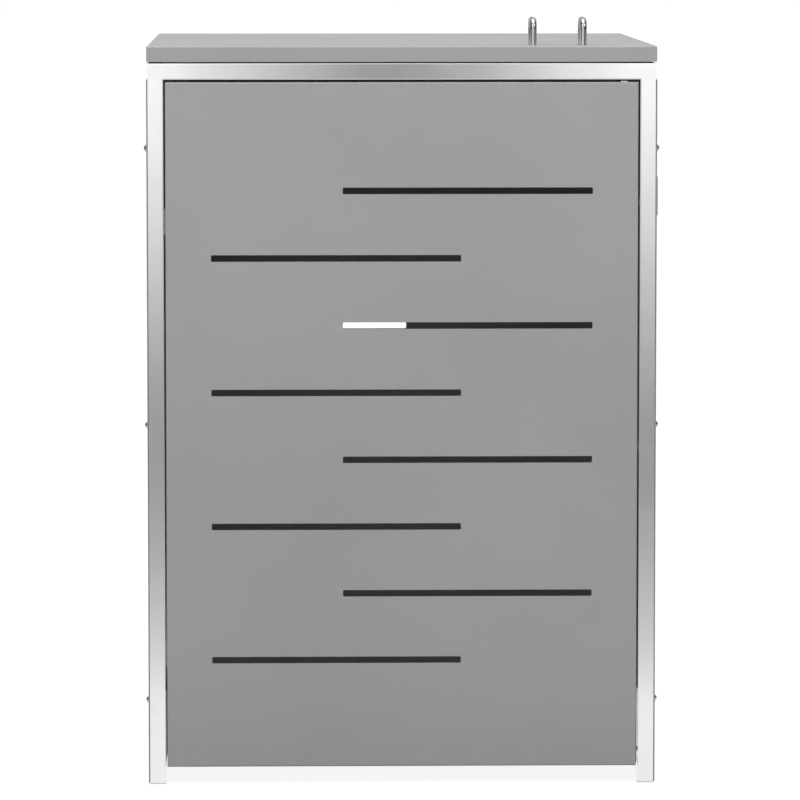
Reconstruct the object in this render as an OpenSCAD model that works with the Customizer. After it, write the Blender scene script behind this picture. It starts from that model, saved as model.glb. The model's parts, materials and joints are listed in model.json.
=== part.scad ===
// Lockable store for one wheeled bin: stainless tube frame, sheet panels,
// a lift-up lid with two bow pulls and a slotted door on pivots.
// +Z is up, +X is right seen from the door side, +Y is to the back.
// The origin is on the floor under the middle of the store.

/* [Overall] */
// Width over the side panels
store_w = 775; // [740:5:860]
// Depth from the door face to the back of the lid hinges
store_d = 850; // [820:5:900]
// Height of the lid's top face above the floor
lid_top_z = 1128; // [1110:1:1180]

/* [Frame] */
// Outer size of the square tube
tube = 25; // [25:1:28]
// Wall of the square tube
tube_wall = 1.5; // [1.2:0.1:2]
// Outer corner radius of the square tube
tube_r = 2; // [1.8:0.1:2.5]
// Thickness of the side and rear panels
panel_t = 1.2; // [1:0.1:1.5]
// Height of the foot plugs under the legs
foot_h = 2; // [2:0.5:5]

/* [Lid] */
// Depth of the lid's folded skirt
lid_skirt = 24; // [22:1:30]
// Gap between the skirt and the top ring
lid_gap = 2; // [1.5:0.5:3]
// Sheet thickness of the lid
lid_sheet = 1.5; // [1.2:0.1:1.6]
// Distance of each hinge from the middle
hinge_x = 240; // [180:10:280]

/* [Bow pulls] */
// Distance of the left pull from the middle
pull_x = 200; // [180:5:220]
// Distance between the two pulls
pull_pitch = 76; // [60:1:90]
// Distance between the legs of a pull
pull_span = 64; // [56:1:80]
// Height of a pull above the lid
pull_h = 43; // [38:1:50]
// Radius of the pull's rod
pull_r = 5; // [4:0.25:5.5]

/* [Door] */
// Gap between the door and each leg
door_side_gap = 2.4; // [2:0.1:3]
// Gap between the door and the top rail
door_top_gap = 3.8; // [3.8:0.1:5]
// Height of the door's bottom edge above the floor
door_bottom_z = 26.5; // [20:0.5:30]
// Depth of the door's folded edges
door_t = 20; // [20:0.5:22]
// Sheet thickness of the door
door_sheet = 1.5; // [1.2:0.1:1.6]
// Number of slots in the door
slots = 8; // [4:1:9]
// Length of a slot
slot_l = 380; // [300:5:400]
// Height of a slot
slot_h = 10; // [8:1:14]
// Distance between neighbouring slots
slot_pitch = 102.5; // [90:0.5:105]
// How far a slot is set to one side of the middle
slot_shift = 100; // [60:5:110]

/* [Hidden] */

// Fine facets for exact round shapes
$fn = 48;
// Overcut so that cuts pass clean through
over = 1;
// Small gap that keeps separate pieces apart
slack = 0.2;

// Colours
steel = "gainsboro";
grey = "darkgray";
dark = "dimgray";

// Small dome-head screws
screw_r = 2;
screw_hole_r = 2.2;
screw_head_r = 3.8;
screw_head_h = 2;
screw_socket = 2.5;

// Lid hinge
knuckle_r = 4;
hinge_pin_r = 2.5;
pin_play = 0.05;
knuckle_gap = 0.6;
leaf_t = 2;
leaf_w = 80;
leaf_h = 17;
knuckles = 5;
knuckle_side_gap = 0.3;
knuckle_l = leaf_w / knuckles;
hinge_screw_x = 28;
hinge_screw_drop = knuckle_r + knuckle_gap + leaf_h / 2;
hinge_frame_screw_l = 10;
hinge_lid_screw_l = 8;
hinge_nut_d = 8;
hinge_nut_h = 3.2;
hinge_pin_head_l = 1.2;
hinge_pin_head_r = 3.5;
lid_bottom_z = lid_top_z - lid_skirt;
ring_top_z = lid_bottom_z - lid_gap;
hinge_y = store_d / 2 - knuckle_r;
hinge_z = ring_top_z + lid_gap / 2;
hinges = [-hinge_x, hinge_x];

// Frame
front_y = -store_d / 2;
rear_y = hinge_y - knuckle_r - knuckle_gap;
frame_d = rear_y - front_y;
mid_y = (front_y + rear_y) / 2;
leg_out_x = store_w / 2 - panel_t;
leg_in_x = leg_out_x - tube;
leg_x = leg_out_x - tube / 2;
leg_front_y = front_y + tube / 2;
leg_rear_y = rear_y - tube / 2;
ring_z = ring_top_z - tube;
leg_h = ring_z - foot_h;
sides = [-1, 1];
plug_w = tube - 2 * tube_wall - 2 * slack;
plug_l = 18;

// Panel bolts
bolt_z = [129, 551, 973];
rear_bolt_rise = 30;
bolt_r = 3;
bolt_hole_r = 3.3;
bolt_head_r = 6;
bolt_head_h = 4;
bolt_l = 11;
bolt_socket = 4;
insert_r = 4.5;
insert_l = 9;

// Slots
slot_r = 2;
slot_cut_l = 6;
rear_slots = 4;
rear_slot_pitch = 205;
rear_slot_first_z = 228.5;
rear_slot_l = 320;
rear_slot_shift = 133;

// Side plate
plate_z = 900;
plate_h = 60;
plate_w = 16;
plate_t = 1.5;
plate_peg_r = 2;

// Lid
lid_w = store_w - 1;
lid_y = mid_y;
bend_r = 2.5;
channel_w = 22;
channel_h = 12;
channel_t = 1.5;
channel_l = 700;
channel_front_y = front_y + 15;
channel_middle_y = front_y + 524;
channel_ys = [channel_front_y, channel_middle_y];
lid_screw_x = 343;
lid_screw_r = 2.5;
lid_screw_head_r = 4.75;
lid_screw_head_h = 2.4;
lid_screw_l = 9;
lid_screw_socket = 3;
lid_screw_xs = [-lid_screw_x, 0, lid_screw_x];
lid_under_z = lid_top_z - lid_sheet;
bumper_r = 7;
bumper_inset_x = 16;
bumper_inset_y = 13;

// Pulls
pull_bend = 12;
pull_front_y = front_y + 20;
pulls = [pull_x, pull_x + pull_pitch];
pull_screw_r = 2;
pull_screw_head_r = 3.8;
pull_screw_head_h = 2.5;
pull_thread_l = 12;
thread_end_gap = 2;
pull_washer_r = 4.4;
pull_washer_h = 1;

// Door
door_x = leg_in_x - door_side_gap;
door_top_z = ring_z - door_top_gap;
door_h = door_top_z - door_bottom_z;
door_mid_z = (door_top_z + door_bottom_z) / 2;
door_bend = 2;
door_in_y = front_y + door_sheet;

// Door pivots
pivot_inset = 21;
pivot_x = door_x - pivot_inset;
pivot_y = front_y + 10.5;
pivot_r = 6;
pivot_play = 0.08;
bush_r = 8;
flange_r = 9;
flange_h = 2;
bush_h = 8;
lower_flange_r = 8.5;
lower_flange_h = 0.9;
lower_bush_wall = 1.2;
lower_bush_h = 24;
washer_h = 1;
top_washer_h = 1.5;
stile_w = 30;
stile_d = 18;
stile_wall = 1.5;
bar_d = 12;
stile_y = door_in_y + stile_d / 2;
stile_back_y = door_in_y + stile_d;
arm_z = door_bottom_z + 17.5;
arm_t = 4;
stile_bottom_z = arm_z + arm_t + washer_h + lower_flange_h + 0.1;
stile_top_z = door_top_z - door_sheet - 1;
stile_h = stile_top_z - stile_bottom_z;
latch_stile_bottom_z = door_bottom_z + door_sheet + 1;
block_w = stile_w - 2 * stile_wall;
block_d = stile_d - 2 * stile_wall;
block_h = 30;
pin_in_block = 26;
pin_chamfer = 1;
pin_top_z = ring_z + 12;
notch_below = 6;
notch_h = 16;
neck_y = pivot_y + 25;
neck_w = 13;
neck_in_x = pivot_x - 22;
bracket_bolt_z = [arm_z + 16, arm_z + 38];
bracket_bolt_l = 10;
bracket_head_r = 5.5;
bracket_head_h = 3.2;
bracket_end = 10;
flange_z = foot_h + tube + 3;
flange_in_x = leg_in_x + 2;
flange_out_x = leg_out_x - 2;
leg_back_y = front_y + tube;

// Latch
latch_stile_x = -door_x + 24;
latch_r = 5;
latch_y = leg_back_y + 1 + latch_r;
latch_play = 0.08;
latch_plate_t = 2;
latch_plate_z = door_top_z - 134;
latch_plate_h = 120;
latch_plate_w = 24;
latch_lug_h = 12;
latch_lug_w = 20;
latch_lug_end = 10;
latch_lug_wall = 4;
latch_screw_zs = [latch_plate_z + 30, latch_plate_z + 90];
latch_screw_l = 8;
latch_bolt_top_z = door_top_z - 3;
latch_bolt_l = 145;
knob_z = latch_plate_z + 48;
knob_r = 9;
knob_y = 25;
knob_neck_r = 4;
knob_stud_r = 2.5;

// Door stops
stop_zs = [200, 860];
stop_h = 40;
stop_t = 3;
stop_w = 46;
stop_screw_l = 10;
buffer_r = 6;
buffer_stem_r = 3;
buffer_x = latch_stile_x - 8;

// Rectangle centred on the origin with round corners
module round_rect(w, h, r) {
    square([w - 2 * r, h], center = true);
    square([w, h - 2 * r], center = true);
    for (x = sides, y = sides) {
        translate([x * (w / 2 - r), y * (h / 2 - r)]) circle(r);
    }
}

module tube_section(size, wall, r) {
    difference() {
        round_rect(size[0], size[1], r);
        round_rect(size[0] - 2 * wall, size[1] - 2 * wall, r - wall / 2);
    }
}

// Upright tube standing on the origin
module upright(size, wall, r, h) {
    linear_extrude(h) tube_section(size, wall, r);
}

// Tube centred on the origin, lying along X
module lying_x(l) {
    rotate([0, 90, 0]) linear_extrude(l, center = true) tube_section([tube, tube], tube_wall, tube_r);
}

// Tube centred on the origin, lying along Y
module lying_y(l) {
    rotate([90, 0, 0]) linear_extrude(l, center = true) tube_section([tube, tube], tube_wall, tube_r);
}

// Round bar along X with its start at the origin
module bar_x(r, l) {
    rotate([0, 90, 0]) cylinder(r = r, h = l);
}

// Round bar along Y with its start at the origin
module bar_y(r, l) {
    rotate([-90, 0, 0]) cylinder(r = r, h = l);
}

// Low domed screw head standing on the origin, dome towards +Z
module dome(r, h) {
    sphere_r = (r * r + h * h) / (2 * h);
    intersection() {
        translate([0, 0, h - sphere_r]) sphere(sphere_r, $fn = 96);
        cylinder(r = r, h = h);
    }
}

// Dome-head screw through the origin plane: head above, shank below, hex socket
module dome_screw(head_r, head_h, r, l, socket) {
    difference() {
        union() {
            dome(head_r, head_h);
            translate([0, 0, -l]) cylinder(r = r, h = l);
        }
        translate([0, 0, head_h * 0.35]) cylinder(d = socket, h = head_h, $fn = 6);
    }
}

// Small dome-head screw of length l
module small_screw(l) {
    dome_screw(screw_head_r, screw_head_h, screw_r, l, screw_socket);
}

// ---- Frame tubes ----

module leg(side, y) {
    color(steel)
    difference() {
        translate([side * leg_x, y, foot_h]) upright([tube, tube], tube_wall, tube_r, leg_h);
        for (z = bolt_z) {
            translate([side * (leg_out_x - insert_r), y, z]) rotate([0, side * 90, 0])
                cylinder(r = insert_r, h = tube);
        }
        if (y > 0) {
            for (z = bolt_z) {
                translate([side * leg_x, rear_y - insert_r, z + rear_bolt_rise]) bar_y(insert_r, tube);
            }
        } else if (side > 0) {
            for (z = bracket_bolt_z) {
                translate([leg_x, y, z]) bar_y(bolt_r + slack, tube);
            }
        } else {
            for (z = stop_zs, up = sides) {
                translate([-leg_x, y, z + up * stop_h / 4]) bar_y(screw_hole_r, tube);
            }
        }
    }
}

module leg_front_left() { leg(-1, leg_front_y); }
module leg_front_right() { leg(1, leg_front_y); }
module leg_rear_left() { leg(-1, leg_rear_y); }
module leg_rear_right() { leg(1, leg_rear_y); }

// Quarter of the ring's plan that one mitred rail fills, pointing towards +X
module mitre_x() {
    linear_extrude(tube + 2 * over) polygon([
        [leg_out_x + over, -frame_d / 2 - over], [leg_out_x + over, frame_d / 2 + over],
        [leg_in_x - over, frame_d / 2 - tube - over], [leg_in_x - over, -frame_d / 2 + tube + over]
    ]);
}

// The same for the front rail, pointing towards -Y
module mitre_y() {
    linear_extrude(tube + 2 * over) polygon([
        [-leg_out_x - over, -frame_d / 2 - over], [leg_out_x + over, -frame_d / 2 - over],
        [leg_in_x - over, -frame_d / 2 + tube + over], [-leg_in_x + over, -frame_d / 2 + tube + over]
    ]);
}

module side_top_rail(side) {
    color(steel)
    intersection() {
        translate([side * leg_x, mid_y, ring_z + tube / 2]) lying_y(frame_d);
        translate([0, mid_y, ring_z - over]) mirror([side < 0 ? 1 : 0, 0, 0]) mitre_x();
    }
}

module top_rail_left() { side_top_rail(-1); }
module top_rail_right() { side_top_rail(1); }

module top_rail_front() {
    color(steel)
    difference() {
        intersection() {
            translate([0, leg_front_y, ring_z + tube / 2]) lying_x(2 * leg_out_x);
            translate([0, mid_y, ring_z - over]) mitre_y();
        }
        translate([pivot_x, pivot_y, ring_z - over]) cylinder(r = bush_r, h = tube_wall + 2 * over);
    }
}

module top_rail_rear() {
    color(steel)
    difference() {
        intersection() {
            translate([0, leg_rear_y, ring_z + tube / 2]) lying_x(2 * leg_out_x);
            translate([0, mid_y, ring_z - over]) mirror([0, 1, 0]) mitre_y();
        }
        for (x = hinges, s = sides) {
            translate([x + s * hinge_screw_x, rear_y - tube / 2, hinge_z - hinge_screw_drop])
                bar_y(screw_hole_r, tube);
        }
    }
}

module side_bottom_rail(side) {
    color(steel)
    translate([side * leg_x, mid_y, foot_h + tube / 2]) lying_y(frame_d - 2 * tube);
}

module bottom_rail_left() { side_bottom_rail(-1); }
module bottom_rail_right() { side_bottom_rail(1); }

module bottom_rail_rear() {
    color(steel)
    translate([0, leg_rear_y, foot_h + tube / 2]) lying_x(2 * leg_in_x);
}

module foot_plugs() {
    color("whitesmoke")
    for (x = sides, y = [leg_front_y, leg_rear_y]) {
        translate([x * leg_x, y, 0]) {
            linear_extrude(foot_h) round_rect(tube, tube, tube_r);
            translate([0, 0, foot_h]) linear_extrude(plug_l) round_rect(plug_w, plug_w, tube_r / 2);
        }
    }
}

// ---- Panels ----

module side_panel(side) {
    color(grey)
    difference() {
        translate([side * (leg_out_x + panel_t / 2), mid_y, (foot_h + ring_z) / 2])
            cube([panel_t, frame_d, leg_h - 2 * slack], center = true);
        for (y = [leg_front_y, leg_rear_y], z = bolt_z) {
            translate([side * (leg_out_x - over), y, z]) rotate([0, side * 90, 0])
                cylinder(r = bolt_hole_r, h = 4 * over);
        }
        if (side > 0) {
            for (s = sides) {
                translate([leg_out_x - over, leg_front_y, plate_z + s * plate_h / 3])
                    bar_x(plate_peg_r + slack, 4 * over);
            }
        }
    }
}

module side_panel_left() { side_panel(-1); }
module side_panel_right() { side_panel(1); }

// -1 for even numbers and 1 for odd ones, so that slots lie to the left and right in turn
function turn(i) = i % 2 == 0 ? -1 : 1;

// Cut for a slot of length l and height h, centred on the origin, going along Y
module slot_cut(l, h) {
    rotate([90, 0, 0]) linear_extrude(slot_cut_l, center = true) round_rect(l, h, slot_r);
}

module rear_panel() {
    color(grey)
    difference() {
        translate([0, rear_y + panel_t / 2, (foot_h + ring_z) / 2])
            cube([2 * leg_out_x, panel_t, leg_h - 2 * slack], center = true);
        for (i = [0 : rear_slots - 1]) {
            translate([rear_slot_shift * turn(i), rear_y, rear_slot_first_z + i * rear_slot_pitch])
                slot_cut(rear_slot_l, slot_h);
        }
        for (x = sides, z = bolt_z) {
            translate([x * leg_x, rear_y - over, z + rear_bolt_rise]) bar_y(bolt_hole_r, 4 * over);
        }
    }
}

// Runs its children at every panel bolt, with +Z pointing out of the panel's outer face
module at_panel_bolts() {
    for (x = sides, y = [leg_front_y, leg_rear_y], z = bolt_z) {
        translate([x * store_w / 2, y, z]) rotate([0, x * 90, 0]) children();
    }
    for (x = sides, z = bolt_z) {
        translate([x * leg_x, rear_y + panel_t, z + rear_bolt_rise]) rotate([-90, 0, 0]) children();
    }
}

module panel_bolts() {
    color(steel) at_panel_bolts() dome_screw(bolt_head_r, bolt_head_h, bolt_r, bolt_l, bolt_socket);
}

module rivet_nuts() {
    color("silver") at_panel_bolts() translate([0, 0, -panel_t - insert_l])
        difference() {
            cylinder(r = insert_r, h = insert_l - slack);
            translate([0, 0, -over]) cylinder(r = bolt_r + pin_play, h = insert_l + 2 * over);
        }
}

module side_plate() {
    color(grey)
    translate([store_w / 2, leg_front_y, plate_z]) {
        rotate([90, 0, 90]) linear_extrude(plate_t) round_rect(plate_w, plate_h, plate_w / 2 - 0.01);
        for (s = sides) {
            translate([-panel_t, 0, s * plate_h / 3]) bar_x(plate_peg_r, panel_t);
        }
    }
}

module lid_bumpers() {
    color("lightgray")
    for (x = sides, y = [front_y + bumper_inset_y, rear_y - bumper_inset_y]) {
        translate([x * (store_w / 2 - bumper_inset_x), y, ring_top_z])
            cylinder(r = bumper_r, h = lid_under_z - ring_top_z - slack);
    }
}

// ---- Lid hinges ----

// One hinge leaf with the knuckles whose number is first, first + 2 and so on, flat part towards up
module hinge_leaf(up, first) {
    difference() {
        union() {
            translate([0, rear_y - hinge_y + leaf_t / 2, up * hinge_screw_drop])
                cube([leaf_w, leaf_t, leaf_h], center = true);
            for (i = [first : 2 : knuckles - 1]) {
                start = -leaf_w / 2 + i * knuckle_l + knuckle_side_gap / 2;
                length = knuckle_l - knuckle_side_gap;
                reach = knuckle_r + knuckle_gap + over;
                translate([start, 0, 0]) bar_x(knuckle_r, length);
                translate([start, rear_y - hinge_y, up > 0 ? 0 : -reach]) cube([length, leaf_t, reach]);
            }
        }
        translate([-leaf_w, 0, 0]) bar_x(hinge_pin_r + pin_play, 2 * leaf_w);
        for (s = sides) {
            translate([s * hinge_screw_x, rear_y - hinge_y - over, up * hinge_screw_drop])
                bar_y(screw_hole_r, leaf_t + 2 * over);
        }
    }
}

module hinge_frame_leaves() {
    color(steel) for (x = hinges) translate([x, hinge_y, hinge_z]) hinge_leaf(-1, 0);
}

module hinge_lid_leaves() {
    color(steel) for (x = hinges) translate([x, hinge_y, hinge_z]) hinge_leaf(1, 1);
}

module hinge_pins() {
    color(steel)
    for (x = hinges) {
        translate([x - leaf_w / 2, hinge_y, hinge_z]) bar_x(hinge_pin_r, leaf_w);
        for (s = [-leaf_w / 2 - hinge_pin_head_l, leaf_w / 2]) {
            translate([x + s, hinge_y, hinge_z]) bar_x(hinge_pin_head_r, hinge_pin_head_l);
        }
    }
}

module hinge_screws(up, l) {
    for (x = hinges, s = sides) {
        translate([x + s * hinge_screw_x, rear_y + leaf_t, hinge_z + up * hinge_screw_drop])
            rotate([-90, 0, 0]) small_screw(l);
    }
}

module hinge_frame_screws() { color(steel) hinge_screws(-1, hinge_frame_screw_l); }
module hinge_lid_screws() { color(steel) hinge_screws(1, hinge_lid_screw_l); }

module hinge_lid_nuts() {
    color(steel)
    for (x = hinges, s = sides) {
        translate([x + s * hinge_screw_x, rear_y - lid_sheet - hinge_nut_h, hinge_z + hinge_screw_drop])
            rotate([-90, 0, 0]) difference() {
                cylinder(d = hinge_nut_d, h = hinge_nut_h, $fn = 6);
                translate([0, 0, -over]) cylinder(r = screw_r + pin_play, h = hinge_nut_h + 2 * over);
            }
    }
}

// ---- Lid ----

// Outline with its top edge at y = 0 and rounded corners
module side_profile(w, h, r) {
    translate([0, -(h + r) / 2]) round_rect(w, h + r, r);
}

// Block with rounded top edges and rounded upright corners, its middle on the origin, top at z = 0
module bent_block(w, d, h, r) {
    intersection() {
        translate([0, 0, -h - r]) linear_extrude(h + r) round_rect(w, d, r);
        rotate([90, 0, 0]) linear_extrude(d + 2, center = true) side_profile(w, h, r);
        rotate([90, 0, 90]) linear_extrude(w + 2, center = true) side_profile(d, h, r);
        translate([-w, -d, -h]) cube([2 * w, 2 * d, h + 1]);
    }
}

module lid_panel() {
    color(grey)
    difference() {
        translate([0, lid_y, lid_top_z]) bent_block(lid_w, frame_d, lid_skirt, bend_r);
        translate([0, lid_y, lid_under_z])
            bent_block(lid_w - 2 * lid_sheet, frame_d - 2 * lid_sheet, lid_skirt, bend_r - lid_sheet);
        for (x = lid_screw_xs, y = channel_ys) {
            translate([x, y, lid_under_z - over]) cylinder(r = lid_screw_r + slack, h = 4 * over);
        }
        for (x = pulls, y = [0, pull_span]) {
            translate([x, pull_front_y + y, lid_under_z - over])
                cylinder(r = pull_screw_r + slack, h = 4 * over);
        }
        for (x = hinges, s = sides) {
            translate([x + s * hinge_screw_x, rear_y - 3 * over, hinge_z + hinge_screw_drop])
                bar_y(screw_hole_r, 6 * over);
        }
    }
}

// Channel open downwards, its web under the lid
module lid_channel(y) {
    difference() {
        translate([0, y, lid_under_z - channel_h / 2]) cube([channel_l, channel_w, channel_h], center = true);
        translate([0, y, lid_under_z - channel_h / 2 - channel_t])
            cube([channel_l + 2, channel_w - 2 * channel_t, channel_h], center = true);
        for (x = lid_screw_xs) {
            translate([x, y, lid_under_z - channel_h]) cylinder(r = lid_screw_r + slack, h = 2 * channel_h);
        }
    }
}

module lid_channel_front() {
    color(dark)
    difference() {
        lid_channel(channel_front_y);
        for (x = pulls) {
            translate([x, pull_front_y, lid_under_z - channel_h])
                cylinder(r = pull_screw_r + slack, h = 2 * channel_h);
        }
    }
}

module lid_channel_middle() { color(dark) lid_channel(channel_middle_y); }

module lid_screws() {
    color(steel)
    for (x = lid_screw_xs, y = channel_ys) {
        translate([x, y, lid_top_z])
            dome_screw(lid_screw_head_r, lid_screw_head_h, lid_screw_r, lid_screw_l, lid_screw_socket);
    }
}

// Bow of round rod in the YZ plane: two legs on the lid, two quarter bends and a grip
module pull(x) {
    top = pull_h - pull_r;
    grip = pull_span - 2 * pull_bend;
    color(steel)
    translate([x, pull_front_y, lid_top_z])
    difference() {
        union() {
            for (far = [0, 1]) {
                translate([0, far * pull_span, 0]) mirror([0, far, 0]) {
                    cylinder(r = pull_r, h = top - pull_bend);
                    translate([0, pull_bend, top - pull_bend]) rotate([90, 0, -90])
                        rotate_extrude(angle = 90) translate([pull_bend, 0]) circle(pull_r);
                }
            }
            translate([0, pull_bend, top]) bar_y(pull_r, grip);
        }
        for (y = [0, pull_span]) {
            translate([0, y, -over]) cylinder(r = pull_screw_r + pin_play, h = pull_thread_l + over);
        }
    }
}

module pull_left() { pull(pulls[0]); }
module pull_right() { pull(pulls[1]); }

// Height of the face that a pull screw's washer bears on, for the front and the back leg
function pull_seat(far) = lid_under_z - (far == 0 ? channel_t : 0);

module pull_washers() {
    color(steel)
    for (x = pulls, far = [0, 1]) {
        translate([x, pull_front_y + far * pull_span, pull_seat(far) - pull_washer_h]) difference() {
            cylinder(r = pull_washer_r, h = pull_washer_h);
            translate([0, 0, -over]) cylinder(r = pull_screw_r + slack, h = pull_washer_h + 2 * over);
        }
    }
}

module pull_screws() {
    color(steel)
    for (x = pulls, far = [0, 1]) {
        seat = pull_seat(far) - pull_washer_h;
        shank_top_z = lid_top_z + pull_thread_l - thread_end_gap;
        translate([x, pull_front_y + far * pull_span, seat - pull_screw_head_h]) {
            cylinder(r = pull_screw_head_r, h = pull_screw_head_h);
            cylinder(r = pull_screw_r, h = shank_top_z - seat + pull_screw_head_h);
        }
    }
}

// ---- Door ----

// Block with rounded front edges, its front face at y = 0, going back
module front_bent_block(w, h, d, r) {
    intersection() {
        translate([0, (d + r) / 2, 0]) linear_extrude(h, center = true) round_rect(w, d + r, r);
        translate([0, (d + r) / 2, 0]) rotate([90, 0, 90]) linear_extrude(w, center = true)
            round_rect(d + r, h, r);
        translate([-w, 0, -h]) cube([2 * w, d, 2 * h]);
    }
}

module door_panel() {
    color(grey)
    difference() {
        translate([0, front_y, door_mid_z]) front_bent_block(2 * door_x, door_h, door_t, door_bend);
        translate([0, door_in_y, door_mid_z]) front_bent_block(
            2 * (door_x - door_sheet), door_h - 2 * door_sheet, door_t, door_bend - door_sheet
        );
        for (i = [0 : slots - 1]) {
            translate([slot_shift * turn(i), front_y, door_mid_z + (i - (slots - 1) / 2) * slot_pitch])
                slot_cut(slot_l, slot_h);
        }
        translate([pivot_x, pivot_y, stile_top_z - over]) cylinder(r = pivot_r + slack, h = 4 * over);
        translate([door_x - 2 * door_sheet, door_in_y, arm_z - notch_below])
            cube([4 * door_sheet, door_t, notch_h]);
    }
}

module stile(x, bottom, h) {
    translate([x, stile_y, bottom]) upright([stile_w, stile_d], stile_wall, tube_r, h);
}

module hinge_stile() { color(dark) stile(pivot_x, stile_bottom_z, stile_h); }

module latch_stile() {
    color(dark)
    difference() {
        stile(latch_stile_x, latch_stile_bottom_z, stile_top_z - latch_stile_bottom_z);
        for (z = latch_screw_zs) {
            translate([latch_stile_x, stile_y, z]) bar_y(screw_hole_r, stile_d);
        }
    }
}

module door_cross_bar() {
    length = pivot_x - latch_stile_x - stile_w;
    color(dark)
    translate([(pivot_x + latch_stile_x) / 2, door_in_y + bar_d / 2, door_mid_z]) rotate([0, 90, 0])
        linear_extrude(length, center = true) tube_section([stile_w, bar_d], stile_wall, tube_r);
}

// Block that fills the end of the hinge stile
module pivot_block(bottom) {
    translate([pivot_x, stile_y, bottom]) linear_extrude(block_h)
        round_rect(block_w - slack, block_d - slack, tube_r);
}

module top_pivot_block() {
    color("black")
    difference() {
        pivot_block(stile_top_z - block_h);
        translate([pivot_x, pivot_y, stile_top_z - pin_in_block]) cylinder(r = pivot_r, h = block_h);
    }
}

// Upright pin standing on the origin, with a chamfered top
module chamfered_pin(r, h) {
    cylinder(r = r, h = h - pin_chamfer);
    translate([0, 0, h - pin_chamfer]) cylinder(r1 = r, r2 = r - pin_chamfer, h = pin_chamfer);
}

module top_pivot_pin() {
    color(steel)
    translate([pivot_x, pivot_y, stile_top_z - pin_in_block])
        chamfered_pin(pivot_r, pin_top_z - stile_top_z + pin_in_block);
}

module ring(r, hole, h) {
    difference() {
        cylinder(r = r, h = h);
        translate([0, 0, -over]) cylinder(r = hole, h = h + 2 * over);
    }
}

module top_pivot_washer() {
    color(steel) translate([pivot_x, pivot_y, door_top_z]) ring(flange_r, pivot_r + slack, top_washer_h);
}

module top_pivot_bush() {
    color("black")
    translate([pivot_x, pivot_y, ring_z])
    difference() {
        union() {
            translate([0, 0, -flange_h]) cylinder(r = flange_r, h = flange_h);
            cylinder(r = bush_r, h = bush_h);
        }
        translate([0, 0, -flange_h - over])
            cylinder(r = pivot_r + pivot_play, h = flange_h + bush_h + 2 * over);
    }
}

module bottom_pivot_block() {
    color("black")
    difference() {
        pivot_block(stile_bottom_z);
        translate([pivot_x, pivot_y, stile_bottom_z - over])
            cylinder(r = pivot_r + lower_bush_wall, h = block_h - 2);
    }
}

module bottom_pivot_bush() {
    color("white")
    translate([pivot_x, pivot_y, stile_bottom_z])
    difference() {
        union() {
            translate([0, 0, -lower_flange_h]) cylinder(r = lower_flange_r, h = lower_flange_h);
            cylinder(r = pivot_r + lower_bush_wall, h = lower_bush_h);
        }
        translate([0, 0, -lower_flange_h - over])
            cylinder(r = pivot_r + pivot_play, h = lower_flange_h + lower_bush_h + 2 * over);
    }
}

module thrust_washer() {
    color(steel) translate([pivot_x, pivot_y, arm_z + arm_t]) ring(lower_flange_r, pivot_r + slack, washer_h);
}

module bottom_pivot_pin() {
    color(steel) translate([pivot_x, pivot_y, arm_z]) cylinder(r = pivot_r, h = arm_t + lower_bush_h);
}

// Swan-neck bracket: upright flange on the back of the leg and an arm that goes round the door's folded edge
module bottom_pivot_bracket() {
    color(steel)
    difference() {
        union() {
            translate([flange_in_x, leg_back_y, flange_z])
                cube([flange_out_x - flange_in_x, arm_t, bracket_bolt_z[1] + bracket_end - flange_z]);
            translate([0, 0, arm_z]) linear_extrude(arm_t) {
                polygon([
                    [flange_out_x, leg_back_y], [flange_out_x, neck_y + neck_w], [neck_in_x, neck_y + neck_w],
                    [neck_in_x, neck_y - 4], [pivot_x - 8, pivot_y - 2], [pivot_x + 6, pivot_y + 6],
                    [pivot_x - 6, neck_y], [flange_in_x, neck_y], [flange_in_x, leg_back_y]
                ]);
                translate([pivot_x, pivot_y]) circle(lower_flange_r);
            }
        }
        translate([pivot_x, pivot_y, arm_z - over]) cylinder(r = pivot_r, h = arm_t + 2 * over);
        for (z = bracket_bolt_z) {
            translate([leg_x, leg_back_y - over, z]) bar_y(bolt_r + slack, arm_t + 2 * over);
        }
    }
}

module bracket_bolts() {
    color(steel)
    for (z = bracket_bolt_z) {
        translate([leg_x, leg_back_y + arm_t, z]) rotate([-90, 0, 0])
            dome_screw(bracket_head_r, bracket_head_h, bolt_r, bracket_bolt_l, bolt_socket);
    }
}

// ---- Latch ----

module latch_housing() {
    color(steel)
    difference() {
        union() {
            translate([latch_stile_x - latch_plate_w / 2, stile_back_y, latch_plate_z])
                cube([latch_plate_w, latch_plate_t, latch_plate_h]);
            for (z = [latch_lug_end, latch_plate_h - latch_lug_end - latch_lug_h]) {
                translate([latch_stile_x - latch_lug_w / 2, stile_back_y, latch_plate_z + z])
                    cube([latch_lug_w, latch_y + latch_r + latch_lug_wall - stile_back_y, latch_lug_h]);
            }
        }
        translate([latch_stile_x, latch_y, latch_plate_z - over])
            cylinder(r = latch_r + latch_play, h = latch_plate_h + 2 * over);
        for (z = latch_screw_zs) {
            translate([latch_stile_x, stile_back_y - over, z]) bar_y(screw_hole_r, latch_plate_t + 2 * over);
        }
    }
}

module latch_screws() {
    color(steel)
    for (z = latch_screw_zs) {
        translate([latch_stile_x, stile_back_y + latch_plate_t, z]) rotate([-90, 0, 0])
            small_screw(latch_screw_l);
    }
}

module latch_bolt() {
    color(steel)
    difference() {
        translate([latch_stile_x, latch_y, latch_bolt_top_z - latch_bolt_l])
            chamfered_pin(latch_r, latch_bolt_l);
        translate([latch_stile_x, latch_y, knob_z]) bar_y(knob_stud_r, 2 * latch_r);
    }
}

module latch_knob() {
    color("black")
    translate([latch_stile_x, latch_y, knob_z]) {
        bar_y(knob_stud_r - pin_play, knob_y);
        translate([0, latch_r + latch_plate_t, 0]) bar_y(knob_neck_r, knob_y - latch_r);
        translate([0, knob_y, 0]) sphere(knob_r);
    }
}

// ---- Door stops ----

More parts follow.
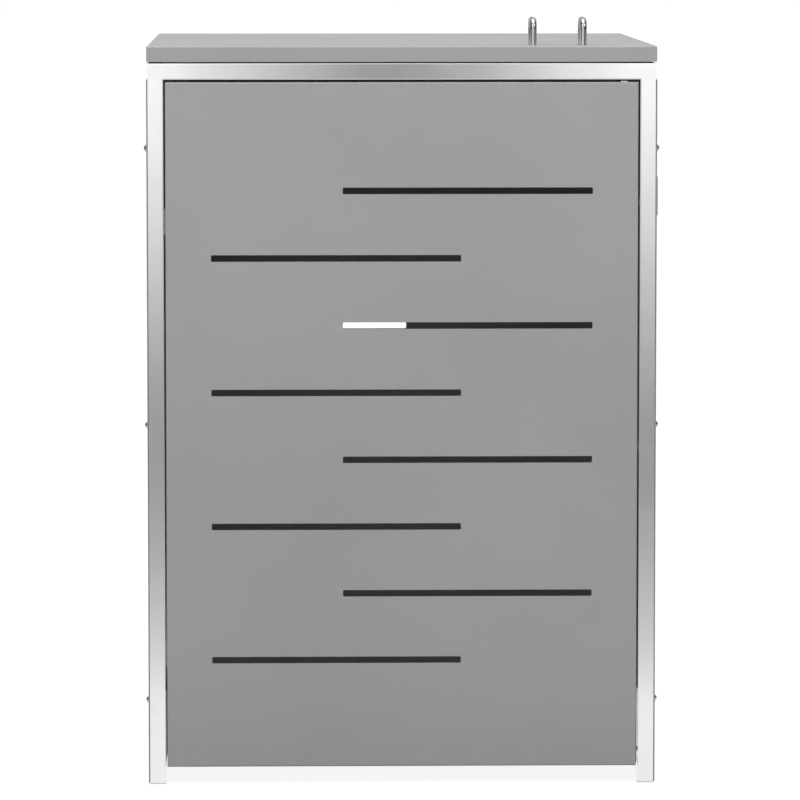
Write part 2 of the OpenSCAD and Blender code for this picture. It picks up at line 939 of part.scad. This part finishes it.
module door_stops() {
    color(steel)
    for (z = stop_zs) {
        difference() {
            translate([-leg_out_x + 2, leg_back_y, z - stop_h / 2]) cube([stop_w, stop_t, stop_h]);
            for (up = sides) {
                translate([-leg_x, leg_back_y - over, z + up * stop_h / 4])
                    bar_y(screw_hole_r, stop_t + 2 * over);
            }
            translate([buffer_x, leg_back_y - over, z]) bar_y(buffer_stem_r, stop_t + 2 * over);
        }
    }
}

module door_stop_buffers() {
    color("black")
    for (z = stop_zs) {
        translate([buffer_x, stile_back_y + slack, z]) bar_y(buffer_r, leg_back_y - stile_back_y - slack);
        translate([buffer_x, leg_back_y, z]) bar_y(buffer_stem_r, stop_t);
    }
}

module door_stop_screws() {
    color(steel)
    for (z = stop_zs, up = sides) {
        translate([-leg_x, leg_back_y + stop_t, z + up * stop_h / 4]) rotate([-90, 0, 0])
            small_screw(stop_screw_l);
    }
}

leg_front_left();
leg_front_right();
leg_rear_left();
leg_rear_right();
top_rail_front();
top_rail_rear();
top_rail_left();
top_rail_right();
bottom_rail_left();
bottom_rail_right();
bottom_rail_rear();
foot_plugs();
side_panel_left();
side_panel_right();
rear_panel();
panel_bolts();
rivet_nuts();
side_plate();
lid_bumpers();
hinge_frame_leaves();
hinge_lid_leaves();
hinge_pins();
hinge_frame_screws();
hinge_lid_screws();
hinge_lid_nuts();
lid_panel();
lid_channel_front();
lid_channel_middle();
lid_screws();
pull_left();
pull_right();
pull_washers();
pull_screws();
door_panel();
hinge_stile();
latch_stile();
door_cross_bar();
top_pivot_block();
top_pivot_pin();
top_pivot_washer();
top_pivot_bush();
bottom_pivot_block();
bottom_pivot_bush();
bottom_pivot_bracket();
bottom_pivot_pin();
thrust_washer();
bracket_bolts();
latch_housing();
latch_screws();
latch_bolt();
latch_knob();
door_stops();
door_stop_buffers();
door_stop_screws();
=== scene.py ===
"""Looks for the wheeled-bin store: materials, fine detail pieces, soft studio light and the camera."""

import json
import math

import bmesh
import bpy
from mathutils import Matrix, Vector


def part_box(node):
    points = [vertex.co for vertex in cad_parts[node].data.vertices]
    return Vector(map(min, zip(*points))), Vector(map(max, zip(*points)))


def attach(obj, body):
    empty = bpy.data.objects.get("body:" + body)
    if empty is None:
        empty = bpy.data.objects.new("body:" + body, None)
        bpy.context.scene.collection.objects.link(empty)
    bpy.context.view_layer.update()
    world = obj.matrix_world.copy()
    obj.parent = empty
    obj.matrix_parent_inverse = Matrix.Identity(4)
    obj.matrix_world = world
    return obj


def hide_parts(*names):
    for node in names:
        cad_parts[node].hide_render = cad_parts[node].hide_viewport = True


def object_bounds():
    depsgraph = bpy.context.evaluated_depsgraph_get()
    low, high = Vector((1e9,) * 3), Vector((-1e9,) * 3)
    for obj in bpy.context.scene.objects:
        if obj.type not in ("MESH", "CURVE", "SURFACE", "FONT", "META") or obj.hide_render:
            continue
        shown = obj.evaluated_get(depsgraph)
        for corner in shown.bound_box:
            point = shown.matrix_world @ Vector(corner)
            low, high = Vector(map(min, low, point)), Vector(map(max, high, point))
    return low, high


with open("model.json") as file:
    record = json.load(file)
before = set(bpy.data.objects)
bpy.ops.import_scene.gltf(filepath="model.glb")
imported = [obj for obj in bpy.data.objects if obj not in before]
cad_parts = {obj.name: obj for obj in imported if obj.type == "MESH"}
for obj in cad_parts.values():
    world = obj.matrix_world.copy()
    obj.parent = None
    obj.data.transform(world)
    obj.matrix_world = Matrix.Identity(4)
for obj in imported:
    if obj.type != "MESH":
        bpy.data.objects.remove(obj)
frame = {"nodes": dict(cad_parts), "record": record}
CAD_LOW, CAD_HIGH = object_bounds()

NODES = frame["nodes"]
SLOT_OF = {part["node"]: part["material_slot"] for part in frame["record"]["subparts"]}
BODY_OF = {
    node: body
    for body, members in frame["record"]["behaviour"]["bodies"].items()
    for node in members
}
MM = 0.001
# Bend radius of the bow pulls' middle line, as in the CAD
PULL_BEND = 12 * MM


# ---------------------------------------------------------------- node helpers


class Shader:
    """A material's node tree with short calls for the few nodes used here."""

    def __init__(self, name):
        self.material = bpy.data.materials.new(name)
        self.material.use_nodes = True
        self.tree = self.material.node_tree
        self.tree.nodes.clear()
        self.output = self.tree.nodes.new("ShaderNodeOutputMaterial")
        self.bsdf = self.tree.nodes.new("ShaderNodeBsdfPrincipled")
        self.link(self.bsdf.outputs["BSDF"], self.output.inputs["Surface"])
        self.place = self.tree.nodes.new("ShaderNodeTexCoord").outputs["Object"]

    def link(self, source, target):
        self.tree.links.new(source, target)

    def set(self, **values):
        for name, value in values.items():
            self.bsdf.inputs[name.replace("_", " ")].default_value = value

    def scaled(self, scale):
        """Object coordinates multiplied by a scale on each axis."""
        mapping = self.tree.nodes.new("ShaderNodeMapping")
        mapping.inputs["Scale"].default_value = scale
        self.link(self.place, mapping.inputs["Vector"])
        return mapping.outputs["Vector"]

    def noise(self, scale, detail=3.0, roughness=0.55):
        """Noise whose scale is one number, or three for a stretched grain. Scales are per metre."""
        node = self.tree.nodes.new("ShaderNodeTexNoise")
        node.inputs["Detail"].default_value = detail
        node.inputs["Roughness"].default_value = roughness
        if isinstance(scale, tuple):
            node.inputs["Scale"].default_value = 1.0
            self.link(self.scaled(scale), node.inputs["Vector"])
        else:
            node.inputs["Scale"].default_value = scale
            self.link(self.place, node.inputs["Vector"])
        return node.outputs["Fac"]

    def remap(self, value, low, high, to_low, to_high):
        node = self.tree.nodes.new("ShaderNodeMapRange")
        node.interpolation_type = "SMOOTHSTEP"
        self.link(value, node.inputs["Value"])
        for name, number in zip(("From Min", "From Max", "To Min", "To Max"), (low, high, to_low, to_high)):
            node.inputs[name].default_value = number
        return node.outputs["Result"]

    def maths(self, operation, a, b):
        node = self.tree.nodes.new("ShaderNodeMath")
        node.operation = operation
        for socket, value in zip(node.inputs, (a, b)):
            if isinstance(value, (int, float)):
                socket.default_value = value
            else:
                self.link(value, socket)
        return node.outputs["Value"]

    def tint(self, factor, low, high):
        """Colour that runs from low to high with the factor."""
        node = self.tree.nodes.new("ShaderNodeMix")
        node.data_type = "RGBA"
        self.link(factor, node.inputs["Factor"])
        node.inputs["A"].default_value = (*low, 1.0)
        node.inputs["B"].default_value = (*high, 1.0)
        return node.outputs["Result"]

    def mix_tint(self, factor, base, over):
        """Colour socket base covered by the plain colour over where the factor is high."""
        node = self.tree.nodes.new("ShaderNodeMix")
        node.data_type = "RGBA"
        self.link(factor, node.inputs["Factor"])
        self.link(base, node.inputs["A"])
        node.inputs["B"].default_value = (*over, 1.0)
        return node.outputs["Result"]

    def bump(self, height, distance, strength=1.0, below=None):
        node = self.tree.nodes.new("ShaderNodeBump")
        node.inputs["Strength"].default_value = strength
        node.inputs["Distance"].default_value = distance
        self.link(height, node.inputs["Height"])
        if below is not None:
            self.link(below, node.inputs["Normal"])
        return node.outputs["Normal"]

    def to(self, name, socket):
        self.link(socket, self.bsdf.inputs[name])


def grey(value, warm=0.0):
    """Neutral colour, a little warmer where warm is above 0."""
    return (value * (1 + warm), value, value * (1 - warm))


# ---------------------------------------------------------------- materials


def painted(name, tone, roughness=0.46):
    """Satin powder coat: fine orange peel, faint cloudiness, handling marks and a mottled darkening towards
    the bottom.
    """
    s = Shader(name)
    cloud = s.noise(2.6, detail=4.0)
    speck = s.noise(900.0, detail=2.0)
    mixed = s.maths("ADD", s.maths("MULTIPLY", cloud, 0.7), s.maths("MULTIPLY", speck, 0.3))
    colour = s.tint(s.remap(mixed, 0.3, 0.7, 0.0, 1.0), grey(tone * 0.965), grey(tone * 1.035))
    height = s.tree.nodes.new("ShaderNodeSeparateXYZ")
    s.link(s.place, height.inputs["Vector"])
    # Darker towards the bottom: a darker grey in noise patches over the lowest 0.16 m, fading out upwards
    low_down = s.remap(height.outputs["Z"], 0.0, 0.16, 0.34, 0.0)
    bottom_darkening = s.maths("MULTIPLY", low_down, s.noise(38.0, detail=6.0))
    colour = s.mix_tint(bottom_darkening, colour, grey(tone * 0.62, 0.02))
    s.to("Base Color", colour)
    marks = s.remap(s.noise((9.0, 9.0, 3.0), detail=6.0), 0.42, 0.72, 0.0, 0.1)
    fine = s.maths("MULTIPLY", s.noise(420.0), 0.08)
    s.to("Roughness", s.maths("ADD", fine, s.maths("ADD", marks, roughness - 0.05)))
    peel = s.bump(s.noise(520.0, detail=1.0), 0.00022, 0.55)
    s.to("Normal", s.bump(s.noise(1500.0, detail=2.0), 0.00006, 0.5, below=peel))
    s.set(Specular_IOR_Level=0.42)
    return s.material


def brushed(name, grain, tone=0.86, roughness=0.13, depth=0.00002):
    """Polished stainless steel with a fine lengthwise grain; grain gives the noise scale on each axis."""
    s = Shader(name)
    lines = s.noise(grain, detail=2.0)
    blotch = s.noise(7.0, detail=5.0)
    s.to("Base Color", s.tint(s.remap(blotch, 0.3, 0.7, 0.0, 1.0), grey(tone * 0.97), grey(tone * 1.03)))
    smudge = s.remap(s.noise(16.0, detail=6.0), 0.5, 0.75, 0.0, 0.06)
    s.to("Roughness", s.maths("ADD", smudge, s.remap(lines, 0.25, 0.75, roughness - 0.03, roughness + 0.05)))
    s.to("Normal", s.bump(lines, depth, 0.35))
    s.set(Metallic=1.0)
    return s.material


def chrome(name):
    s = Shader(name)
    wipe = s.remap(s.noise((40.0, 12.0, 40.0), detail=5.0), 0.45, 0.7, 0.035, 0.1)
    s.to("Roughness", wipe)
    s.to("Base Color", s.tint(s.noise(60.0), grey(0.62), grey(0.68)))
    s.to("Normal", s.bump(s.noise(300.0), 0.00002, 0.2))
    s.set(Metallic=1.0)
    return s.material


def turned(name, tone, roughness):
    """Machined or cold-formed small steel parts: fine random grain and a few dull spots."""
    s = Shader(name)
    spots = s.remap(s.noise(180.0, detail=4.0), 0.45, 0.7, 0.0, 1.0)
    s.to("Base Color", s.tint(spots, grey(tone), grey(tone * 0.82, 0.01)))
    s.to("Roughness", s.remap(s.noise(600.0, detail=3.0), 0.3, 0.7, roughness - 0.05, roughness + 0.09))
    s.to("Normal", s.bump(s.noise(1400.0, detail=2.0), 0.00003, 0.35))
    s.set(Metallic=1.0)
    return s.material


def moulded(name, tone, roughness, peel=900.0, warm=0.0):
    """Moulded plastic or rubber with a fine spark-eroded texture."""
    s = Shader(name)
    s.to("Base Color", s.tint(s.noise(55.0, detail=4.0), grey(tone * 0.9, warm), grey(tone * 1.1, warm)))
    s.to("Roughness", s.remap(s.noise(240.0), 0.3, 0.7, roughness - 0.06, roughness + 0.08))
    s.to("Normal", s.bump(s.noise(peel, detail=2.0), 0.00005, 0.5))
    return s.material


FINE = 2600.0
LONG = 14.0
GRAIN = {"X": (LONG, FINE, FINE), "Y": (FINE, LONG, FINE), "Z": (FINE, FINE, LONG)}
TUBES = {axis: brushed(f"stainless_tube_{axis}", scale) for axis, scale in GRAIN.items()}

MATERIALS = {
    "painted_sheet": painted("grey_powder_coat", 0.31),
    "painted_stiffener": painted("grey_powder_coat_inside", 0.285, 0.5),
    "foot_plastic": moulded("natural_polyethylene", 0.66, 0.5, warm=0.02),
    "stainless_hardware": turned("stainless_fasteners", 0.66, 0.22),
    "zinc_inserts": turned("zinc_plate", 0.55, 0.36),
    "bracket_steel": turned("stainless_plate", 0.62, 0.3),
    "pull_chrome": chrome("bright_chrome"),
    "bush_plastic": moulded("black_acetal", 0.03, 0.4),
    "knob_plastic": moulded("black_phenolic", 0.02, 0.22, peel=300.0),
    "buffer_rubber": moulded("grey_rubber", 0.22, 0.6, peel=700.0),
    "weld": turned("weld_metal", 0.5, 0.34),
}


def tube_axis(node):
    """Longest direction of a tube, which its grain follows."""
    low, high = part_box(node)
    size = high - low
    return "XYZ"[max(range(3), key=lambda i: size[i])]


def dress_cad():
    for name, obj in NODES.items():
        slot = SLOT_OF[name]
        material = TUBES[tube_axis(name)] if slot == "frame_tube" else MATERIALS[slot]
        obj.data.materials.clear()
        obj.data.materials.append(material)


dress_cad()


# ---------------------------------------------------------------- edges of the CAD pieces

# Width in millimetres of the rounded edge that small plates, channels and plastic parts get
EDGE_MM = {
    "side_plate": 0.4, "bottom_pivot_bracket": 0.4, "door_stops": 0.4, "latch_housing": 0.5,
    "hinge_frame_leaves": 0.3, "hinge_lid_leaves": 0.3, "lid_channel_front": 0.3,
    "lid_channel_middle": 0.3, "foot_plugs": 0.3, "lid_bumpers": 0.5,
}


def soften_edges():
    for name, width in EDGE_MM.items():
        obj = NODES[name]
        weld = obj.modifiers.new("weld", "WELD")
        weld.merge_threshold = 0.00001
        bevel = obj.modifiers.new("edge", "BEVEL")
        bevel.width = width * MM
        bevel.segments = 2
        bevel.limit_method = "ANGLE"
        bevel.angle_limit = math.radians(40)
        flat = obj.modifiers.new("flat_faces", "WEIGHTED_NORMAL")
        flat.weight = 100
        flat.keep_sharp = False


soften_edges()


# ---------------------------------------------------------------- detail pieces


def add_piece(name, bm, body, material):
    """Mesh object from a bmesh, smooth except at edges marked sharp, riding on a body."""
    bmesh.ops.recalc_face_normals(bm, faces=bm.faces)
    for face in bm.faces:
        face.smooth = True
    mesh = bpy.data.meshes.new(name)
    bm.to_mesh(mesh)
    bm.free()
    mesh.materials.append(material)
    obj = bpy.data.objects.new(name, mesh)
    bpy.context.scene.collection.objects.link(obj)
    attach(obj, body)
    return obj


def loft(bm, rings):
    """Skin over rings of equal vertex count, with a flat sharp-edged cap at each end."""
    rows = [[bm.verts.new(point) for point in ring] for ring in rings]
    count = len(rows[0])
    for a, b in zip(rows, rows[1:]):
        for i in range(count):
            j = (i + 1) % count
            bm.faces.new((a[i], a[j], b[j], b[i]))
    for row in (rows[0], rows[-1]):
        cap = bm.faces.new(row)
        for edge in cap.edges:
            edge.smooth = False


def circle(centre, across, up, radius, sides):
    angles = [2 * math.pi * i / sides for i in range(sides)]
    return [centre + radius * (math.cos(a) * across + math.sin(a) * up) for a in angles]


def bow_path(low, high, radius, bend, steps=16):
    """Middle line of a bow pull in the YZ plane: leg, bend, grip, bend, leg."""
    x = (low.x + high.x) / 2
    front, back, top = low.y + radius, high.y - radius, high.z - radius
    points = [Vector((x, front, low.z + rise)) for rise in (0.0, 0.004, top - bend - low.z - 0.001)]
    for turn in range(steps + 1):
        a = math.pi / 2 * turn / steps
        points.append(Vector((x, front + bend - bend * math.cos(a), top - bend + bend * math.sin(a))))
    half = (front + back) / 2
    points.append(Vector((x, half, top)))
    mirrored = [Vector((x, front + back - point.y, point.z)) for point in reversed(points[:-1])]
    return points + mirrored


def smooth_pulls():
    """Bow pulls with a finer skin than the CAD mesh, so that their highlights run clean."""
    across = Vector((1, 0, 0))
    for name in ("pull_left", "pull_right"):
        low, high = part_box(name)
        radius = (high.x - low.x) / 2 * 0.999
        path = bow_path(low, high, radius, PULL_BEND)
        rings = []
        for i, point in enumerate(path):
            along = (path[min(i + 1, len(path) - 1)] - path[max(i - 1, 0)]).normalized()
            rings.append(circle(point, across, along.cross(across), radius, 48))
        bm = bmesh.new()
        loft(bm, rings)
        bow = add_piece(name + "_bow", bm, BODY_OF[name], MATERIALS["pull_chrome"])
        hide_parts(name)


def weld_bead(bm, start, end, radius=2.0 * MM, pitch=1.5 * MM):
    """Rippled bead along an inside corner from start to end, tapering at both ends."""
    along = (end - start).normalized()
    across = along.orthogonal().normalized()
    up = along.cross(across)
    length = (end - start).length
    steps = max(8, int(length / (pitch / 4)))
    rings = []
    for i in range(steps + 1):
        t = i / steps
        taper = min(1.0, 0.45 + 6 * min(t, 1 - t))
        ripple = 1 + 0.1 * abs(math.sin(math.pi * t * length / pitch))
        rings.append(circle(start.lerp(end, t), across, up, radius * taper * ripple, 14))
    loft(bm, rings)


def weld_beads():
    """Beads where the legs meet the top ring and the bottom rails, on the faces inside the store."""
    ring_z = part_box("top_rail_front")[0].z
    rail_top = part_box("bottom_rail_left")[1].z
    bm = bmesh.new()
    inset = 2 * MM
    for name in ("leg_front_left", "leg_front_right", "leg_rear_left", "leg_rear_right"):
        low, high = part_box(name)
        left, front = low.x < 0, low.y < 0
        inner_x = high.x if left else low.x
        inner_y = high.y if front else low.y
        for z in (ring_z, rail_top):
            weld_bead(bm, Vector((low.x + inset, inner_y, z)), Vector((high.x - inset, inner_y, z)))
            if not front:
                weld_bead(bm, Vector((inner_x, low.y + inset, z)), Vector((inner_x, high.y - inset, z)))
    add_piece("weld_beads", bm, "frame", MATERIALS["weld"])


def prism(bm, outline, along):
    """Solid swept from an outline of points by the vector along, all edges sharp."""
    loft(bm, [outline, [point + along for point in outline]])
    for edge in bm.edges:
        edge.smooth = False


def ground_seams():
    """Ground-flush weld metal: over the mitres on top of the ring and where the front legs meet it."""
    low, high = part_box("top_rail_front")[0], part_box("top_rail_rear")[1]
    tube = high.z - low.z
    bm = bmesh.new()
    half, lift, sunk = 2.5 * MM, 0.12 * MM, 0.6 * MM
    corners = ((x, y) for y in (low.y, high.y) for x in (low.x, high.x))
    for x, y in corners:
        way = Vector((1 if x == low.x else -1, 1 if y == low.y else -1, 0))
        side = Vector((-way.y, way.x, 0)).normalized() * half
        start = Vector((x, y, high.z - sunk)) + way * 2 * MM
        rise = Vector((0, 0, sunk + lift))
        outline = [start - side, start + side, start + side * 0.8 + rise, start - side * 0.8 + rise]
        prism(bm, outline, way * (tube - 4 * MM))
    for name in ("leg_front_left", "leg_front_right"):
        leg_low, leg_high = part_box(name)
        y, z = leg_low.y + 0.01 * MM, low.z
        depth = 2.2 * MM
        start = leg_low.x + 1.6 * MM
        outline = [
            Vector((start, y, z - 0.3 * MM)), Vector((start, y, z + depth)),
            Vector((start, y + depth, z)), Vector((start, y + depth, z - 0.3 * MM)),
        ]
        prism(bm, outline, Vector((leg_high.x - leg_low.x - 3.2 * MM, 0, 0)))
    add_piece("ground_seams", bm, "frame", TUBES["Z"])


smooth_pulls()
weld_beads()
ground_seams()


# ---------------------------------------------------------------- studio


def place_object(name, data):
    obj = bpy.data.objects.new(name, data)
    bpy.context.scene.collection.objects.link(obj)
    return obj


def sheet(name, half=None, radius=None):
    """Flat square of a half side, or flat disc of a radius, in its own XY plane."""
    mesh = bpy.data.meshes.new(name)
    obj = place_object(name, mesh)
    bm = bmesh.new()
    if radius is None:
        bmesh.ops.create_grid(bm, x_segments=1, y_segments=1, size=half)
    else:
        bmesh.ops.create_circle(bm, cap_ends=True, segments=96, radius=radius)
    bm.to_mesh(mesh)
    bm.free()
    return obj


def reflections_only(obj):
    """Stage piece that only glossy rays see."""
    obj.visible_camera = False
    obj.visible_diffuse = False
    obj.visible_transmission = False
    obj.visible_shadow = False


def area_light(name, place, aim, size, power):
    data = bpy.data.lights.new(name, "AREA")
    data.shape = "RECTANGLE"
    data.size, data.size_y = size
    data.energy = power
    light = place_object(name, data)
    light.location = place
    light.rotation_euler = (Vector(aim) - Vector(place)).to_track_quat("-Z", "Y").to_euler()
    return light


def inner_fill(place, power):
    """Faint light inside the bay, so that the slots don't read as flat black."""
    data = bpy.data.lights.new("inner_fill", "POINT")
    data.energy = power
    data.shadow_soft_size = 0.2
    light = place_object("inner_fill", data)
    light.location = place
    light.visible_glossy = False


def sun_light(name, towards, strength, angle):
    """Very soft sun whose light comes from the direction towards."""
    data = bpy.data.lights.new(name, "SUN")
    data.energy = strength
    data.angle = math.radians(angle)
    light = place_object(name, data)
    light.rotation_euler = (-Vector(towards)).to_track_quat("-Z", "Y").to_euler()


def world_light(strength):
    """White to the camera, a soft sky for diffuse light, and dark flags left and right for reflections."""
    world = bpy.data.worlds.new("studio")
    bpy.context.scene.world = world
    world.use_nodes = True
    tree = world.node_tree
    tree.nodes.clear()
    output = tree.nodes.new("ShaderNodeOutputWorld")
    seen = tree.nodes.new("ShaderNodeBackground")
    lit = tree.nodes.new("ShaderNodeBackground")
    mix = tree.nodes.new("ShaderNodeMixShader")
    path = tree.nodes.new("ShaderNodeLightPath")
    seen.inputs["Color"].default_value = (1, 1, 1, 1)
    seen.inputs["Strength"].default_value = 1.0
    lit.inputs["Strength"].default_value = strength
    direction = tree.nodes.new("ShaderNodeTexCoord")
    split = tree.nodes.new("ShaderNodeSeparateXYZ")
    ramp = tree.nodes.new("ShaderNodeValToRGB")
    rise = tree.nodes.new("ShaderNodeMapRange")
    rise.inputs["From Min"].default_value = -1.0
    tree.links.new(direction.outputs["Generated"], split.inputs["Vector"])
    tree.links.new(split.outputs["Z"], rise.inputs["Value"])
    tree.links.new(rise.outputs["Result"], ramp.inputs["Fac"])
    ramp.color_ramp.elements[0].position = 0.45
    ramp.color_ramp.elements[0].color = (0.62, 0.62, 0.62, 1)
    ramp.color_ramp.elements[1].position = 0.8
    ramp.color_ramp.elements[1].color = (1, 1, 1, 1)
    side = tree.nodes.new("ShaderNodeMath")
    side.operation = "ABSOLUTE"
    tree.links.new(split.outputs["X"], side.inputs[0])
    flag = tree.nodes.new("ShaderNodeMapRange")
    flag.interpolation_type = "SMOOTHSTEP"
    for name, number in (("From Min", 0.5), ("From Max", 0.86), ("To Min", 0.0), ("To Max", 0.9)):
        flag.inputs[name].default_value = number
    tree.links.new(side.outputs["Value"], flag.inputs["Value"])
    shade = tree.nodes.new("ShaderNodeMath")
    shade.operation = "MULTIPLY"
    tree.links.new(flag.outputs["Result"], shade.inputs[0])
    tree.links.new(path.outputs["Is Glossy Ray"], shade.inputs[1])
    dim = tree.nodes.new("ShaderNodeMix")
    dim.data_type = "RGBA"
    tree.links.new(shade.outputs["Value"], dim.inputs["Factor"])
    tree.links.new(ramp.outputs["Color"], dim.inputs["A"])
    dim.inputs["B"].default_value = (0.02, 0.02, 0.02, 1.0)
    tree.links.new(dim.outputs["Result"], lit.inputs["Color"])
    tree.links.new(path.outputs["Is Camera Ray"], mix.inputs["Fac"])
    tree.links.new(lit.outputs["Background"], mix.inputs[1])
    tree.links.new(seen.outputs["Background"], mix.inputs[2])
    tree.links.new(mix.outputs["Shader"], output.inputs["Surface"])


def floor():
    """Pale studio floor, nearly white to the camera; its reflection dims away from the store."""
    obj = sheet("floor", radius=60.0)
    material = bpy.data.materials.new("floor_white")
    material.use_nodes = True
    tree = material.node_tree
    tree.nodes.clear()
    output = tree.nodes.new("ShaderNodeOutputMaterial")
    diffuse = tree.nodes.new("ShaderNodeBsdfDiffuse")
    shade = tree.nodes.new("ShaderNodeMix")
    shade.data_type = "RGBA"
    shade.inputs["A"].default_value = (0.2, 0.2, 0.2, 1)
    shade.inputs["B"].default_value = (0.8, 0.8, 0.8, 1)
    glow = tree.nodes.new("ShaderNodeEmission")
    reach = tree.nodes.new("ShaderNodeVectorMath")
    reach.operation = "LENGTH"
    place = tree.nodes.new("ShaderNodeTexCoord")
    tree.links.new(place.outputs["Object"], reach.inputs[0])
    fade = tree.nodes.new("ShaderNodeMapRange")
    fade.interpolation_type = "SMOOTHSTEP"
    for name, number in (("From Min", 1.2), ("From Max", 3.2), ("To Min", 1.1), ("To Max", 0.4)):
        fade.inputs[name].default_value = number
    tree.links.new(reach.outputs["Value"], fade.inputs["Value"])
    power = tree.nodes.new("ShaderNodeMix")
    power.inputs["B"].default_value = 1.07
    tree.links.new(fade.outputs["Result"], power.inputs["A"])
    tree.links.new(power.outputs["Result"], glow.inputs["Strength"])
    path = tree.nodes.new("ShaderNodeLightPath")
    share = tree.nodes.new("ShaderNodeMath")
    share.operation = "MULTIPLY"
    share.inputs[1].default_value = 0.84
    either = tree.nodes.new("ShaderNodeMath")
    either.operation = "MAXIMUM"
    mix = tree.nodes.new("ShaderNodeMixShader")
    tree.links.new(path.outputs["Is Camera Ray"], shade.inputs["Factor"])
    tree.links.new(path.outputs["Is Camera Ray"], power.inputs["Factor"])
    tree.links.new(shade.outputs["Result"], diffuse.inputs["Color"])
    tree.links.new(path.outputs["Is Camera Ray"], either.inputs[0])
    tree.links.new(path.outputs["Is Glossy Ray"], either.inputs[1])
    tree.links.new(either.outputs["Value"], share.inputs[0])
    tree.links.new(share.outputs["Value"], mix.inputs["Fac"])
    tree.links.new(diffuse.outputs["BSDF"], mix.inputs[1])
    tree.links.new(glow.outputs["Emission"], mix.inputs[2])
    tree.links.new(mix.outputs["Shader"], output.inputs["Surface"])
    obj.data.materials.append(material)


def corner_cards():
    """Reflection card in front of the store: bright in its four corners, grey in a cross between."""
    low, high = CAD_LOW, CAD_HIGH
    centre = (low + high) / 2
    distance = 1.15
    size = 4.0
    obj = sheet("reflection_card", half=size / 2)
    obj.rotation_euler = (math.radians(90), 0, 0)
    obj.location = (0, low.y - distance, centre.z)
    material = bpy.data.materials.new("card_glow")
    material.use_nodes = True
    tree = material.node_tree
    tree.nodes.clear()
    output = tree.nodes.new("ShaderNodeOutputMaterial")
    glow = tree.nodes.new("ShaderNodeEmission")
    place = tree.nodes.new("ShaderNodeTexCoord")
    split = tree.nodes.new("ShaderNodeSeparateXYZ")
    tree.links.new(place.outputs["Object"], split.inputs["Vector"])
    faded = []
    # The grey cross: its middle, and how far from it the card is at its brightest, in metres
    for axis, middle, reach in (("X", 0.008, 0.57), ("Y", -0.193, 0.81)):
        shift = tree.nodes.new("ShaderNodeMath")
        shift.operation = "SUBTRACT"
        shift.inputs[1].default_value = middle
        away = tree.nodes.new("ShaderNodeMath")
        away.operation = "ABSOLUTE"
        fade = tree.nodes.new("ShaderNodeMapRange")
        fade.interpolation_type = "SMOOTHSTEP"
        fade.inputs["From Max"].default_value = reach
        tree.links.new(split.outputs[axis], shift.inputs[0])
        tree.links.new(shift.outputs["Value"], away.inputs[0])
        tree.links.new(away.outputs["Value"], fade.inputs["Value"])
        faded.append(fade.outputs["Result"])
    least = tree.nodes.new("ShaderNodeMath")
    least.operation = "MINIMUM"
    tree.links.new(faded[0], least.inputs[0])
    tree.links.new(faded[1], least.inputs[1])
    level = tree.nodes.new("ShaderNodeMapRange")
    level.inputs["To Min"].default_value = 0.355
    level.inputs["To Max"].default_value = 1.25
    tree.links.new(least.outputs["Value"], level.inputs["Value"])
    tree.links.new(level.outputs["Result"], glow.inputs["Strength"])
    tree.links.new(glow.outputs["Emission"], output.inputs["Surface"])
    obj.data.materials.append(material)
    reflections_only(obj)


def pull_flags():
    """Black cards, seen only in reflections, that draw dark lines down the chrome pulls."""
    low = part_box("pull_left")[0]
    black = moulded("flag_black", 0.01, 0.9)
    for side in (-1, 1):
        name = f"pull_flag_{side + 1}"
        obj = sheet(name, half=0.5)
        obj.scale = (0.98, 0.4, 1.0)
        obj.rotation_euler = (math.radians(90), 0, 0)
        obj.location = (side * 1.01, low.y - 0.72, low.z + 0.17)
        obj.data.materials.append(black)
        reflections_only(obj)


def camera():
    """Long lens, a little left of the middle and above the lid, turned towards the front's middle."""
    data = bpy.data.cameras.new("camera")
    data.sensor_width = 36.0
    data.lens = 237.5
    data.clip_end = 200.0
    cam = place_object("camera", data)
    front = Vector((0.0, CAD_LOW.y, 0.0))
    cam.location = front + Vector((-0.19, -8.0, 1.328))
    aim = front + Vector((-0.003, 0.0, 0.590))
    cam.rotation_euler = (aim - cam.location).to_track_quat("-Z", "Y").to_euler()
    bpy.context.scene.camera = cam


world_light(0.6)
floor()
corner_cards()
pull_flags()
sun_light("sky_sun", (-0.15, -0.1, 1.0), 1.5, 55)
area_light("front_left", (-2.2, -2.9, 2.9), (0.0, -0.4, 1.0), (2.0, 1.6), 70)
area_light("front_right", (2.3, -2.8, 2.8), (0.0, -0.4, 1.0), (2.0, 1.6), 61)
area_light("rear", (0.5, 4.5, 2.8), (0.0, 0.0, 0.7), (3.0, 2.0), 110).visible_glossy = False
inner_fill((0.0, 0.0, 0.55), 0.4)
camera()
bpy.context.scene.view_settings.view_transform = "Standard"
